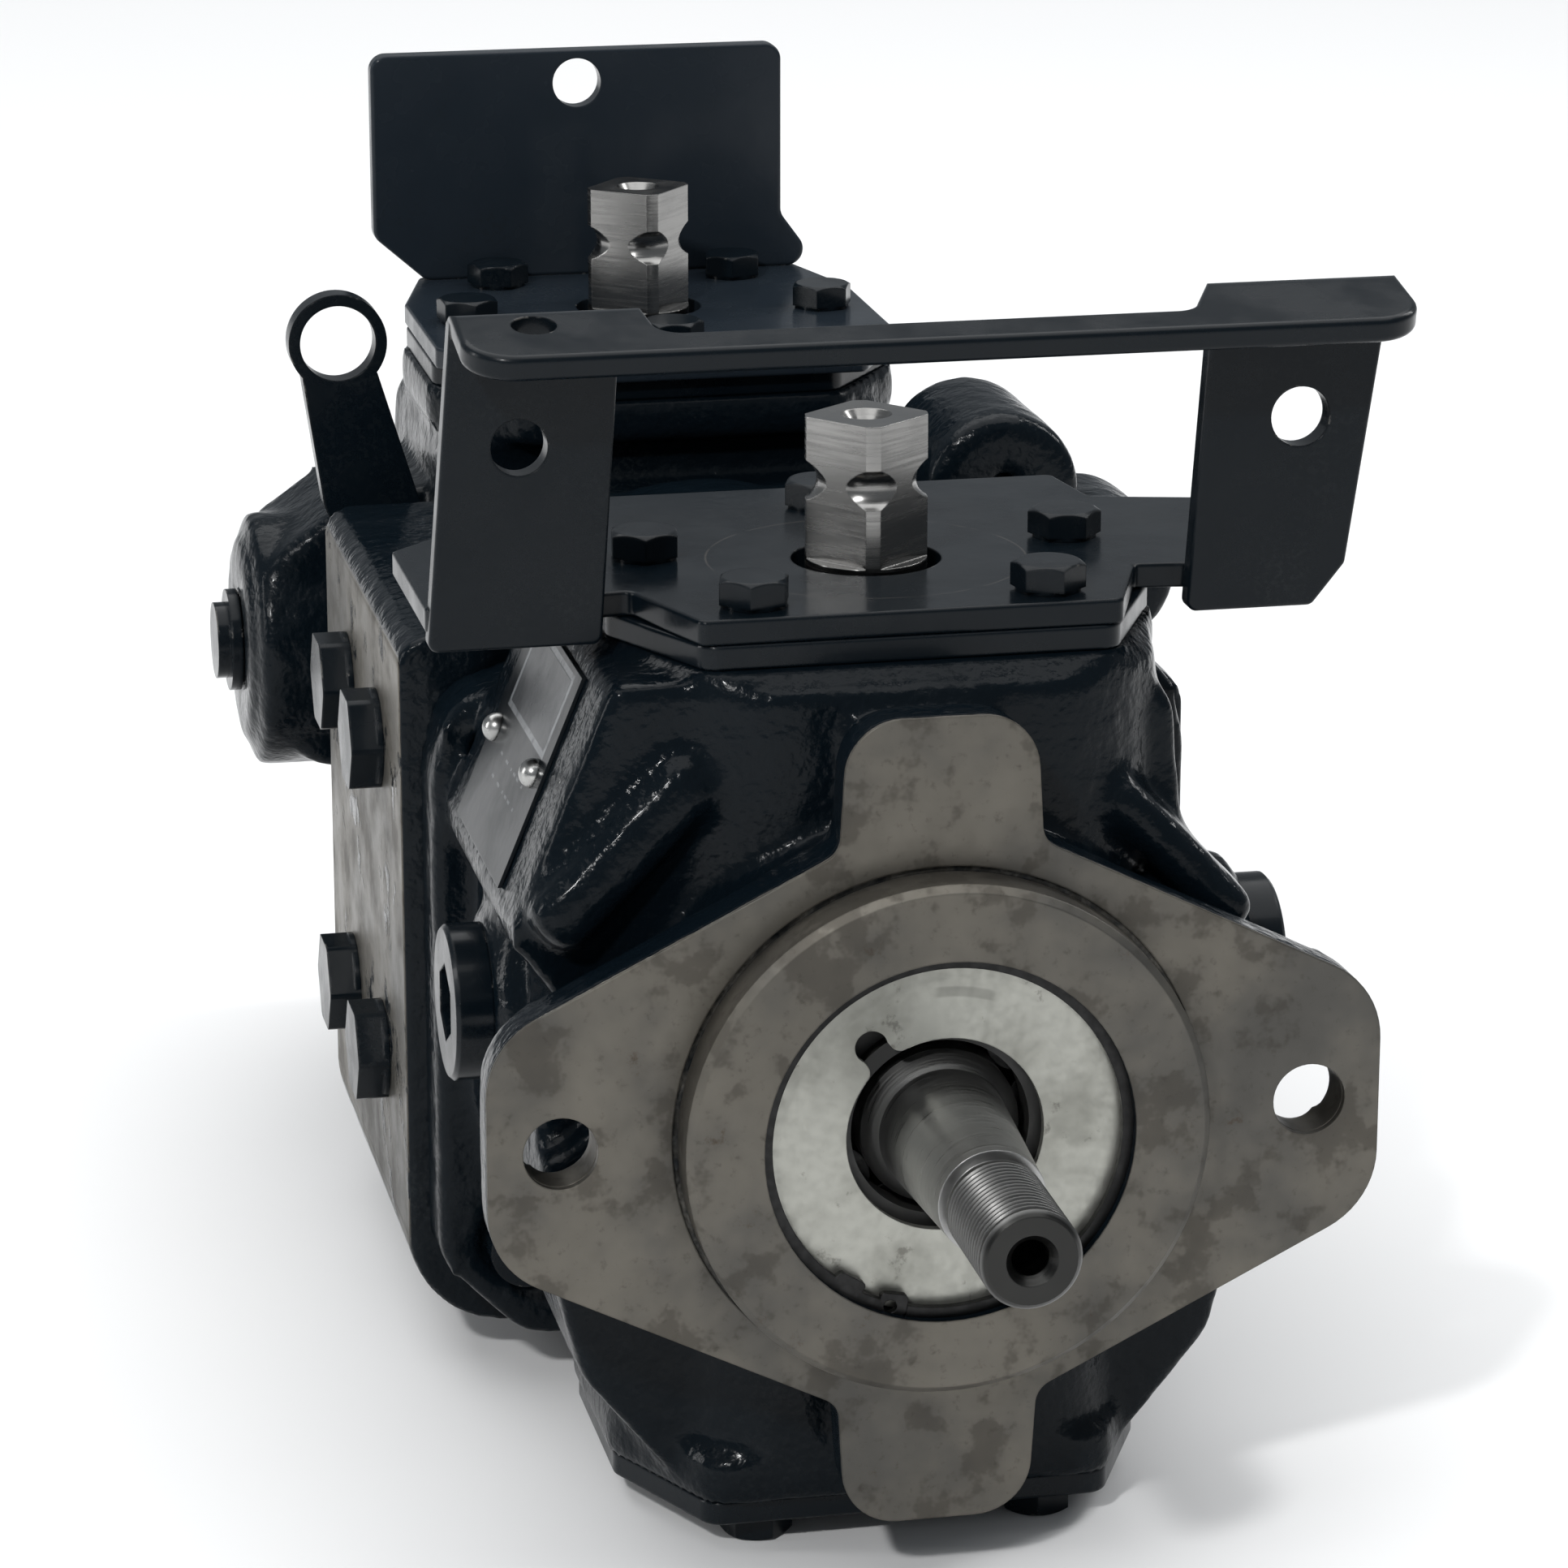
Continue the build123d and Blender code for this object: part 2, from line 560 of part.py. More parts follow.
def retaining_ring():
    ring = along_y(37.4, -7.2, -5.6) - along_y(34.0, -8, -5)
    gap = plate_y([(0, 0), (-14, -60), (-22, -57)], -8, -5)
    ring -= gap
    lug = plate_y([(-7.5, -31.0), (-13.0, -30.0), (-13.2, -34.2), (-8.2, -35.2)], -7.2, -5.6, 1.0)
    far_lug = plate_y([(-15.5, -28.2), (-20.5, -25.2), (-23.4, -27.2), (-18.0, -31.2)], -7.2, -5.6, 1.0)
    hole = along_y(1.3, -8, -5, -11.2, -33.0)
    return ring + lug + far_lug - hole


def front_bearing():
    """Roller bearing without an inner ring: the shaft's journal runs straight on its rollers."""
    roller_r = 6.4
    pitch_r = JOURNAL_R + roller_r + 0.03
    ring = along_y(35.98, 7.2, 26.2) - along_y(pitch_r + roller_r - 0.02, 6, 28)
    ring -= along_y(pitch_r + roller_r + 1.5, 10.0, 23.4)
    rollers = [along_y(roller_r, 10.2, 23.2, x, z) for x, z in ring_of(10, pitch_r)]
    lips = along_y(32.0, 9.0, 10.0) - along_y(pitch_r + roller_r - 0.02, 8, 11)
    return joined([ring + lips] + rollers)


# ================================================================= shafts
def spline_teeth(outer, root, y0, y1, count=12, width=3.4):
    """Straight-sided spline teeth; a little larger, the same bars cut the slots of the mating hub."""
    teeth = []
    for i in range(count):
        tooth = box(-width / 2, width / 2, y0, y1, root - 1.5, outer)
        teeth.append(Rot(0, 360.0 * i / count, 0) * tooth)
    return teeth


def thread_grooves(radius, y0, y1, pitch, depth):
    """Ring grooves that stand for a thread's flanks."""
    grooves = []
    count = int((y1 - y0) / pitch)
    half = pitch * 0.42
    for i in range(count):
        y = y0 + (i + 0.5) * pitch
        vee = Polyline((y - half, radius + 0.1), (y + half, radius + 0.1), (y, radius - depth), close=True)
        grooves.append(revolve(Plane.YZ * make_face(vee), Axis.Y))
    return grooves


TIP_Y = -70.8
TAPER_SMALL_Y = -41.5
TAPER_LARGE_Y = -3.4
THREAD_R = 9.5
LINK_R = 11.4            # spline that joins the two shafts
LINK_ROOT_R = 10.0


def drive_shaft():
    tip = along_y(THREAD_R, TIP_Y, -44.3)
    tip = chamfer(tip.edges().group_by(Axis.Y)[0], 1.1)
    relief = along_y(8.3, -44.4, TAPER_SMALL_Y)
    taper = cone_y(SHAFT_R - (TAPER_LARGE_Y - TAPER_SMALL_Y) / 16, SHAFT_R, TAPER_SMALL_Y, TAPER_LARGE_Y)
    journal = along_y(JOURNAL_R, 0.6, 26.2) + cone_y(SHAFT_R, JOURNAL_R, TAPER_LARGE_Y, 0.6)
    shoulder = along_y(17.6, 26.2, 30.0)
    run = along_y(SHAFT_R, 30.0, MID_Y - 1.0)
    shaft = tip + relief + taper + journal + shoulder + run
    block_spline = spline_teeth(SPLINE_R, SHAFT_R, TILT_Y + 44, TILT_Y + BLOCK_BACK)
    link_spline = spline_teeth(LINK_R, LINK_ROOT_R, MID_Y - 19.0, MID_Y - 1.0, 10, 2.8)
    shaft -= along_y(30.0, MID_Y - 19.0, MID_Y) - along_y(LINK_ROOT_R, MID_Y - 20.0, MID_Y + 1)
    shaft = shaft + block_spline + link_spline
    center_hole = along_y(3.4, TIP_Y - 1, TIP_Y + 16) + cone_y(4.9, 3.4, TIP_Y - 0.01, TIP_Y + 1.8)
    shaft -= center_hole
    return shaft - thread_grooves(THREAD_R, TIP_Y + 1.6, -44.6, 1.5875, 0.9)


def rear_shaft():
    end = COVER_END_Y - 6.0
    run = along_y(SHAFT_R, MID_Y + 20.0, end - 18.0) + along_y(9.0, end - 18.0, end - 0.5)
    cup = along_y(19.0, MID_Y - 21.0, MID_Y + 20.0) - along_y(LINK_ROOT_R + 0.15, MID_Y - 22.0, MID_Y + 1.0)
    cup -= along_y(SHAFT_R + 0.3, MID_Y - 22.0, MID_Y - 18.5)
    cup -= spline_teeth(LINK_R + 0.15, LINK_ROOT_R, MID_Y - 22.0, MID_Y + 0.5, 10, 3.1)
    shaft = run + cup
    shaft += spline_teeth(SPLINE_R, SHAFT_R, 2 * MID_Y - TILT_Y - BLOCK_BACK, 2 * MID_Y - TILT_Y - 44)
    flat = box(-9.5, 9.5, PUMP_END_Y - 0.5, end + 1, 7.4, 12)
    return shaft - flat


# ================================================================= rotating group parts
def cylinder_block():
    block = along_y(BLOCK_R, BLOCK_FRONT, BLOCK_BACK)
    block = chamfer(block.edges().filter_by(GeomType.CIRCLE), 1.0)
    for x, z in ring_of(PISTONS, PITCH_R):
        block -= along_y(BORE_R, BLOCK_FRONT - 1, PISTON_END + 9.5, x, z)
        block -= along_y(3.4, PISTON_END, BLOCK_BACK + 1, x, z)
    block -= along_y(17.6, BLOCK_FRONT - 1, 43.8)
    block -= along_y(SHAFT_R + 0.15, 43, BLOCK_BACK + 1)
    return block - spline_teeth(SPLINE_R + 0.15, SHAFT_R, 43, BLOCK_BACK + 1, 12, 3.7)


def ball_guide():
    skirt = along_y(16.2, 0, 22.0)
    shell = (Sphere(GUIDE_R) & box(-20, 20, -9.0, 5.0, -20, 20)) + skirt
    return shell - along_y(SHAFT_R + 0.05, -20, 30)


def block_spring():
    pitch, turns, wire = 5.2, 3.5, 1.35
    radius = 15.4
    start = 24.0
    path = Helix(pitch, pitch * turns, radius)
    section = Plane(origin=path @ 0, z_dir=path % 0) * Circle(wire)
    coil = sweep(section, path=path)
    return Pos(0, start, 0) * Rot(-90, 0, 0) * coil


def slipper_retainer():
    plate = along_y(43.5, -5.0, -2.0)
    plate -= Sphere(GUIDE_R + RUN_GAP)
    for x, z in ring_of(PISTONS, SLIPPER_PITCH_R):
        plate -= along_y(9.6, -6, -1, x, z)
    return plate


def swashplate():
    """Tilting plate with its arms and two trunnions; the upper trunnion ends in a square post."""
    disc = along_y(SWASH_R, -18.0, -SWASH_FACE) + cone_y(36.0, SWASH_R, -25.0, -18.0)
    arm = box(-15, 15, -22.0, 9.0, 46.3, 57.5)
    arms = arm + mirror(arm, about=Plane.XY)
    rim = box(-15, 15, -22.0, -SWASH_FACE, -50, 50)
    hub = along_z(TRUNNION_R, 46.3, 84.0) + along_z(TRUNNION_R, -84.0, -46.3)
    post = Rot(0, 0, POST_TURN) * Box(POST_SQUARE, POST_SQUARE, 2 * POST_TOP + 2)
    post = post & along_z(POST_BAR_R, 83.0, POST_TOP)
    collar = along_z(POST_BAR_R, 83.0, POST_ROOT)
    groove = Pos(0, 0, POST_GROOVE_Z) * Torus(14.2, 4.46)
    tapped = along_z(M8_DRILL_R, POST_TOP - 18, POST_TOP + 1)
    countersink = Pos(0, 0, POST_TOP - 1.0) * Cone(M8_DRILL_R, 5.0, 2.02)
    plate = disc + rim + arms + hub + post + collar
    plate -= cone_y(25.0, 17.9, -26.0, -SWASH_FACE + 0.01)
    plate -= along_y(44.8, -SWASH_FACE, 30)
    return plate - groove - tapped - countersink


def slipper():
    """Slipper about its ball socket: flat foot on the swash face, socket towards the block."""
    foot = along_y(12.0, -SWASH_FACE + RUN_GAP / 2, -5.2)
    neck = along_y(9.0, -5.3, 3.4)
    return foot + neck - Sphere(SOCKET_R) - along_y(1.0, -12, 0)


def piston():
    """Piston about its ball: ball, neck and hollow body."""
    body = along_y(PISTON_R, PISTON_START, PISTON_END)
    body = chamfer(body.edges().filter_by(GeomType.CIRCLE), 0.8)
    neck = along_y(NECK_R, 0, PISTON_START + 1)
    hollow = along_y(5.5, PISTON_START + 12, PISTON_END + 1)
    oil_hole = along_y(1.0, -8, 30)
    return Sphere(BALL_R) + neck + body - hollow - oil_hole


def valve_plate():
    plate = along_y(42.0, BLOCK_BACK + RUN_GAP, BLOCK_BACK + RUN_GAP + VALVE_T) - along_y(19.5, 50, 70)
    for up in (1, -1):
        plate -= kidney(BLOCK_BACK, BLOCK_BACK + 6, up)
    return plate


# ================================================================= charge pump
def gerotor_outer():
    """Outer ring with round lobes, one more than the inner rotor has teeth."""
    space_r = GEROTOR_PITCH_R + 2 * GEROTOR_OFFSET - GEROTOR_LOBE_R + 0.4
    gear = along_y(GEROTOR_RING_R, 0, GEROTOR_T) - along_y(space_r, -1, GEROTOR_T + 1)
    for x, z in ring_of(GEROTOR_TEETH + 1, GEROTOR_PITCH_R):
        gear += along_y(GEROTOR_LOBE_R, 0, GEROTOR_T, x, z)
    return Pos(0, PUMP_END_Y + GEROTOR_GAP, GEROTOR_OFFSET) * gear


def gerotor_inner():
    """Inner rotor: the envelope of the outer ring's lobes as the two turn together."""
    lobes = GEROTOR_TEETH + 1
    reach = GEROTOR_LOBE_R + 0.12
    points = []
    steps = 24 * GEROTOR_TEETH
    for i in range(steps):
        a = 2 * math.pi * i / steps
        x = GEROTOR_PITCH_R * math.cos(a) - GEROTOR_OFFSET * math.sin(lobes * a)
        z = GEROTOR_PITCH_R * math.sin(a) + GEROTOR_OFFSET * math.cos(lobes * a)
        dx = -GEROTOR_PITCH_R * math.sin(a) - lobes * GEROTOR_OFFSET * math.cos(lobes * a)
        dz = GEROTOR_PITCH_R * math.cos(a) - lobes * GEROTOR_OFFSET * math.sin(lobes * a)
        size = math.hypot(dx, dz)
        points.append((x - reach * dz / size, z + reach * dx / size))
    face = make_face(Spline(*points, periodic=True))
    rotor = extrude(Plane.XZ.offset(-GEROTOR_T) * face, amount=GEROTOR_T)
    bore = along_y(9.04, -1, GEROTOR_T + 1) - box(-10, 10, -2, GEROTOR_T + 2, 7.45, 12)
    return Pos(0, PUMP_END_Y + GEROTOR_GAP, 0) * (rotor - bore)


def charge_pump_cover():
    shape = mirrored([(38, 50), (48, 38), (48, -38), (38, -50)])
    cover = plate_y(shape, PUMP_END_Y, COVER_END_Y, 8.0)
    pocket_end = PUMP_END_Y + GEROTOR_GAP + GEROTOR_T + 0.1
    cover -= along_y(GEROTOR_RING_R + 0.08, PUMP_END_Y - 1, pocket_end, 0, GEROTOR_OFFSET)
    cover -= along_y(9.1, PUMP_END_Y, COVER_END_Y - 5.0)
    cover -= along_x(7.0, 34.0, 49.0, COVER_END_Y - 9.5)
    cover -= along_x(4.0, 24.0, 35.0, COVER_END_Y - 13.0)
    for x, z in CHARGE_BOLTS:
        cover -= along_y(5.3, PUMP_END_Y - 1, COVER_END_Y + 1, x, z)
        cover -= along_y(8.6, COVER_END_Y - 9.0, COVER_END_Y + 1, x, z)
    return cover


# ================================================================= plugs, bushes, joint bolts
def side_plug(sense):
    """Socket plug in a case drain port, about the tilt axis; sense is the side it faces."""
    face = 77.0
    plug = along_x(PORT_R, face - 14, face) + along_x(15.6, face, face + 7.5)
    plug = chamfer(plug.edges().group_by(Axis.X)[-1], 0.8)
    socket = Pos(face + 7.5, 0, 0) * Rot(0, 90, 0) * extrude(RegularPolygon(8.2, 6), amount=-9.0)
    plug = Pos(0, SIDE_PORT_Y, SIDE_PORT_Z) * (plug - socket)
    if sense < 0:
        plug = mirror(plug, about=Plane.YZ)
    return plug


def side_plugs():
    plugs = [front(side_plug(-1)), front(side_plug(1)), rear(side_plug(1))]
    fitting = along_x(INLET_R, -98.5, -80) + along_x(12.0, -101.0, -98.5) + along_x(9.0, -104.0, -100.0)
    plugs.append(Pos(0, REAR_TILT_Y - INLET_FROM_TILT, INLET_Z) * fitting)
    return joined(plugs)


def relief_valve_plugs():
    """Four hex cartridges in the left ends of the galleries."""
    plugs = []
    seat = -CENTER_X
    for y in (JOINT_Y + PORT_FROM_JOINT, REAR_JOINT_Y - PORT_FROM_JOINT):
        for up in (1, -1):
            hexagon = extrude(Plane.YZ.offset(seat - 7) * RegularPolygon(11.2, 6), amount=7)
            hexagon &= along_x(10.9, seat - 7, seat)
            flange = along_x(10.6, seat - 1.2, seat)
            stem = along_x(9.5, seat, seat + 24) + along_x(7.0, seat + 24, seat + 34)
            plugs.append(Pos(0, y, up * PORT_Z) * (hexagon + flange + stem))
    return joined(plugs)


def trunnion_bushings():
    bush = along_z(BUSHING_R, 60.0, 82.0) - along_z(TRUNNION_R + 0.04, 59, 83)
    lower = mirror(bush, about=Plane.XY)
    return joined([front(bush), front(lower), rear(bush), rear(lower)])


def housing_bolts():
    bolts = []
    depth = 52.0
    for x, z in HOUSING_BOLTS:
        bolts.append(socket_bolt_y(x, z, TILT_Y + depth, 30.0, 1))
    for x, z in HOUSING_BOLTS[1:]:
        bolts.append(socket_bolt_y(x, z, REAR_TILT_Y - depth, 30.0, -1))
    bolts.append(socket_bolt_y(*HOUSING_BOLTS[0], REAR_JOINT_Y + 22.2, 40.0, -1))
    for x, z in CHARGE_BOLTS:
        bolts.append(socket_bolt_y(x, z, COVER_END_Y - 9.0, 26.0, -1))
    return joined(bolts)


# ================================================================= export
def moving_group(parts, place, name):
    """Pistons and slippers of one pump, each in a node of its own."""
    for i, (x, z) in enumerate(ring_of(PISTONS, SLIPPER_PITCH_R)):
        parts[f"{name}_slipper_{i + 1}"] = place(Pos(x, 0, z) * slipper())
        parts[f"{name}_piston_{i + 1}"] = place(Pos(x, 0, z) * piston())


def all_parts():
    parts = {
        "front_housing": front_housing(),
        "center_section": center_section(),
        "rear_housing": rear_housing(),
        "charge_pump_cover": charge_pump_cover(),
        "trunnion_covers": trunnion_covers(),
        "cover_bolts": cover_bolts(),
        "housing_bolts": housing_bolts(),
        "front_bracket": front_bracket(),
        "rear_bracket": rear_bracket(),
        "lifting_eye": lifting_eye(),
        "nameplate": nameplate(),
        "nameplate_rivets": nameplate_rivets(),
        "shaft_seal": shaft_seal(),
        "seal_washer": seal_washer(),
        "retaining_ring": retaining_ring(),
        "front_bearing": front_bearing(),
        "valve_plates": joined([front(valve_plate()), rear(valve_plate())]),
        "relief_valve_plugs": relief_valve_plugs(),
        "side_plugs": side_plugs(),
        "trunnion_bushings": trunnion_bushings(),
        "drive_shaft": drive_shaft(),
        "rear_shaft": rear_shaft(),
        "front_cylinder_block": front(cylinder_block()),
        "rear_cylinder_block": rear(cylinder_block()),
        "block_springs": joined([front(block_spring()), rear(block_spring())]),
        "ball_guides": joined([front(ball_guide()), rear(ball_guide())]),
        "gerotor_inner": gerotor_inner(),
        "gerotor_outer": gerotor_outer(),
        "front_swashplate": front(swashplate()),
        "rear_swashplate": rear(swashplate()),
        "front_slipper_retainer": front(slipper_retainer()),
        "rear_slipper_retainer": rear(slipper_retainer()),
    }
    moving_group(parts, front, "front")
    moving_group(parts, rear, "rear")
    return parts


os.makedirs("parts", exist_ok=True)
for node, shape in all_parts().items():
    shape.label = node
    export_step(shape, f"parts/{node}.step")
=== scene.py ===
import json
import math

import bmesh
import bpy
import numpy as np
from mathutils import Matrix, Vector, noise


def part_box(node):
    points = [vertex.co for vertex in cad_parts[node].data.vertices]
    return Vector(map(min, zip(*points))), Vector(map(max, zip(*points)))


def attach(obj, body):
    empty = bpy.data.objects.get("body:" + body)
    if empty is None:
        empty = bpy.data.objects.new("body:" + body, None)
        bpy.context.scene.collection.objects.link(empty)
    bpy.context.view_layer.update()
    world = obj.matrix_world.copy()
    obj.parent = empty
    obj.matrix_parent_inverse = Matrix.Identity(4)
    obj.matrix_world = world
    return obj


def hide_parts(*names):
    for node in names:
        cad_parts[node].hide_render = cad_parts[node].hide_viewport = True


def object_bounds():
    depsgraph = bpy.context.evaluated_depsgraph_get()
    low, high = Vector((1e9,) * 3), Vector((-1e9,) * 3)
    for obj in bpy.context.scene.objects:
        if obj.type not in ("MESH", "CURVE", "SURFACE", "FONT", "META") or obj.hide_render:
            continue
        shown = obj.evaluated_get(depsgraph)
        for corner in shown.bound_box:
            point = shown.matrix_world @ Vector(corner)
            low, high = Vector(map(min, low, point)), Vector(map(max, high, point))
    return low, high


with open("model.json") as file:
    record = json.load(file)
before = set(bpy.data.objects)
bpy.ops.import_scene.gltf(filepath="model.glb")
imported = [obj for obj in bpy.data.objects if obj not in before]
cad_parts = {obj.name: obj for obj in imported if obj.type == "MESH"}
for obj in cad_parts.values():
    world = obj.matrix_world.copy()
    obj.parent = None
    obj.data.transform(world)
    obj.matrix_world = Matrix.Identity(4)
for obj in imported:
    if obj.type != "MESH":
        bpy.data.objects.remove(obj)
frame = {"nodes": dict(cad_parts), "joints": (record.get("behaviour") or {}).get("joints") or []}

CAD_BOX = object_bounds()
NODES = frame["nodes"]
JOINTS = {j["name"]: j for j in frame["joints"]}
MM = 0.001


# ---------------------------------------------------------------- node helpers
class Shader:
    """A material whose surface is one Principled shader, with short calls to add nodes."""

    def __init__(self, name):
        self.mat = bpy.data.materials.new(name)
        self.mat.use_nodes = True
        self.tree = self.mat.node_tree
        self.tree.nodes.clear()
        self.out = self.tree.nodes.new("ShaderNodeOutputMaterial")
        self.bsdf = self.add("ShaderNodeBsdfPrincipled")
        self.tree.links.new(self.bsdf.outputs[0], self.out.inputs[0])
        self.place = self.add("ShaderNodeTexCoord").outputs["Object"]

    def add(self, kind, **inputs):
        n = self.tree.nodes.new(kind)
        for key, value in inputs.items():
            self.plug(n, key, value)
        return n

    def plug(self, n, key, value):
        socket = n.inputs[int(key[1:])] if key[0] == "i" and key[1:].isdigit() else n.inputs[key]
        if isinstance(value, bpy.types.NodeSocket):
            self.tree.links.new(value, socket)
        else:
            socket.default_value = value

    def set(self, **values):
        for key, value in values.items():
            self.plug(self.bsdf, key.replace("_", " "), value)

    def math(self, op, a, b=0.0, clamp=False):
        n = self.add("ShaderNodeMath", i0=a, i1=b)
        n.operation = op
        n.use_clamp = clamp
        return n.outputs[0]

    def noise(self, scale, detail=3.0, rough=0.55, vector=None, distort=0.0):
        n = self.add("ShaderNodeTexNoise", Scale=scale, Detail=detail, Roughness=rough, Distortion=distort)
        self.plug(n, "Vector", vector if vector is not None else self.place)
        return n.outputs[0]

    def stretched(self, sx, sy, sz):
        n = self.add("ShaderNodeVectorMath", i0=self.place, i1=(sx, sy, sz))
        n.operation = "MULTIPLY"
        return n.outputs[0]

    def band(self, value, low, high, a=0.0, b=1.0):
        """Smooth step: a below low, b above high."""
        n = self.add("ShaderNodeMapRange", i0=value, i1=low, i2=high, i3=a, i4=b)
        n.interpolation_type = "SMOOTHSTEP"
        return n.outputs[0]

    def mix(self, fac, a, b):
        n = self.add("ShaderNodeMix")
        n.data_type = "RGBA"
        self.plug(n, "i0", fac)
        for index, value in ((6, a), (7, b)):
            if isinstance(value, bpy.types.NodeSocket):
                self.tree.links.new(value, n.inputs[index])
            else:
                n.inputs[index].default_value = tuple(value) + (1.0,)
        return n.outputs[2]

    def blend(self, fac, a, b):
        """a where fac is 0, b where fac is 1, as numbers."""
        n = self.add("ShaderNodeMix", i0=fac, i2=a, i3=b)
        return n.outputs[0]

    def axes(self):
        n = self.add("ShaderNodeSeparateXYZ", Vector=self.place)
        return n.outputs[0], n.outputs[1], n.outputs[2]

    def shaft_radius(self, x0=0.0, z0=0.0):
        x, y, z = self.axes()
        dx = self.math("SUBTRACT", x, x0)
        dz = self.math("SUBTRACT", z, z0)
        both = self.math("ADD", self.math("MULTIPLY", dx, dx), self.math("MULTIPLY", dz, dz))
        return self.math("SQRT", both)

    def ring_vector(self, scale):
        """A vector that changes only with the distance from the shaft, for turning marks."""
        n = self.add("ShaderNodeCombineXYZ", X=self.math("MULTIPLY", self.shaft_radius(), scale))
        return n.outputs[0]

    def rounded(self, radius):
        n = self.add("ShaderNodeBevel", Radius=radius)
        n.samples = 4
        return n.outputs[0]

    def edge(self, radius, low=0.02, high=0.25):
        """1 on sharp edges, fading over about the radius."""
        around = self.rounded(radius)
        flat = self.add("ShaderNodeNewGeometry").outputs["True Normal"]
        n = self.add("ShaderNodeVectorMath", i0=around, i1=flat)
        n.operation = "DOT_PRODUCT"
        return self.band(self.math("SUBTRACT", 1.0, n.outputs["Value"]), low, high)

    def bump(self, *layers, normal=None):
        """Each layer is (height, distance in metres, strength)."""
        last = normal
        for height, distance, strength in layers:
            n = self.add("ShaderNodeBump", Strength=strength, Distance=distance, Height=height)
            if last is not None:
                self.plug(n, "Normal", last)
            last = n.outputs[0]
        self.plug(self.bsdf, "Normal", last)


# ---------------------------------------------------------------- materials
PAINT = (0.0024, 0.0048, 0.0072)
PAINT_DUSTY = (0.011, 0.014, 0.016)
PAINT_BLUE = (0.0120, 0.0170, 0.0230)
BARE_IRON = (0.140, 0.130, 0.112)
BARE_GREY = (0.088, 0.085, 0.078)
BARE_DARK = (0.050, 0.045, 0.038)
RUST = (0.060, 0.036, 0.020)
CHIP = (0.26, 0.25, 0.23)
PAINT_SHEEN = 0.09
SHEET_SHEEN = 0.14
PLATE_SHEEN = 0.12
BOLT_HOLE_X = 73.025 * MM      # flange bolt centres, either side of the shaft
BOLT_HOLE_R = 7.4 * MM
BEARING_BORE_R = 36.3 * MM
PILOT_FRONT_Y = -9.45 * MM
SIDE_FACE_X = -83.85 * MM      # machined left face of the centre section
THREAD_END_Y = -44.6 * MM      # the shaft's thread lies ahead of this
THREAD_ROOT_R = 8.8 * MM
THREAD_CREST_R = 9.4 * MM
DARK_ARC_R = 28.5 * MM           # radius of the darker arc on the seal washer
LUMP = 0.70 * MM
SAND = 0.20 * MM


def paint_layers(s, base, rough_low, rough_high):
    """Colour and roughness of the blue-black paint, with a little dust in patches."""
    cloud = s.noise(28.0, 4.0, 0.6)
    speck = s.noise(900.0, 2.0, 0.6)
    dust = s.math("MULTIPLY", s.band(cloud, 0.48, 0.75), s.band(speck, 0.48, 0.64))
    colour = s.mix(s.math("MULTIPLY", dust, 0.6), base, PAINT_DUSTY)
    streak = s.noise(60.0, 3.0, 0.6)
    return colour, s.band(streak, 0.3, 0.7, rough_low, rough_high)


def iron_layers(s):
    """Colour and roughness of bare machined cast iron: fine grain, soft stains, rust specks."""
    fine = s.noise(420.0, 4.0, 0.65)
    blot = s.noise(24.0, 4.0, 0.60)
    tide = s.noise(70.0, 4.0, 0.62)
    colour = s.mix(s.band(blot, 0.38, 0.66), BARE_IRON, BARE_GREY)
    colour = s.mix(s.math("MULTIPLY", s.band(tide, 0.53, 0.60), 0.42), colour, BARE_DARK)
    colour = s.mix(s.math("MULTIPLY", s.band(fine, 0.55, 0.75), 0.45), colour, BARE_DARK)
    rust = s.band(s.noise(95.0, 6.0, 0.75), 0.62, 0.74)
    colour = s.mix(s.math("MULTIPLY", rust, 0.55), colour, RUST)
    rough = s.band(tide, 0.3, 0.7, 0.36, 0.56)
    return colour, rough


def cast_paint(name, bare=None):
    """Glossy paint over rough cast iron. bare(s) gives 1 where the casting is machined and unpainted."""
    s = Shader(name)
    colour, rough = paint_layers(s, PAINT, 0.13, 0.27)
    sand = s.noise(620.0, 2.0, 0.5)
    lumps = s.noise(190.0, 2.0, 0.5)
    if bare is None:
        s.set(Base_Color=colour, Roughness=rough, Coat_Weight=0.06)
        s.bump((lumps, LUMP, 1.0), (sand, SAND, 1.0), normal=s.rounded(0.9 * MM))
    else:
        mask = bare(s)
        iron, iron_rough = iron_layers(s)
        keep = s.math("SUBTRACT", 1.0, mask)
        rings = s.noise(1.0, 2.0, 0.6, vector=s.ring_vector(2600.0))
        lumps = s.math("MULTIPLY", lumps, keep)
        sand = s.math("MULTIPLY", sand, s.blend(mask, 1.0, 0.10))
        s.set(Base_Color=s.mix(mask, colour, iron), Roughness=s.blend(mask, rough, iron_rough),
              Metallic=s.math("MULTIPLY", mask, 0.85), Coat_Weight=s.math("MULTIPLY", keep, 0.06))
        s.bump((s.math("MULTIPLY", rings, mask), 0.03 * MM, 0.35), (lumps, LUMP, 1.0),
               (sand, SAND, 1.0), normal=s.rounded(0.5 * MM))
    s.bsdf.inputs["Specular IOR Level"].default_value = PAINT_SHEEN
    s.bsdf.inputs["Coat Roughness"].default_value = 0.07
    return s.mat


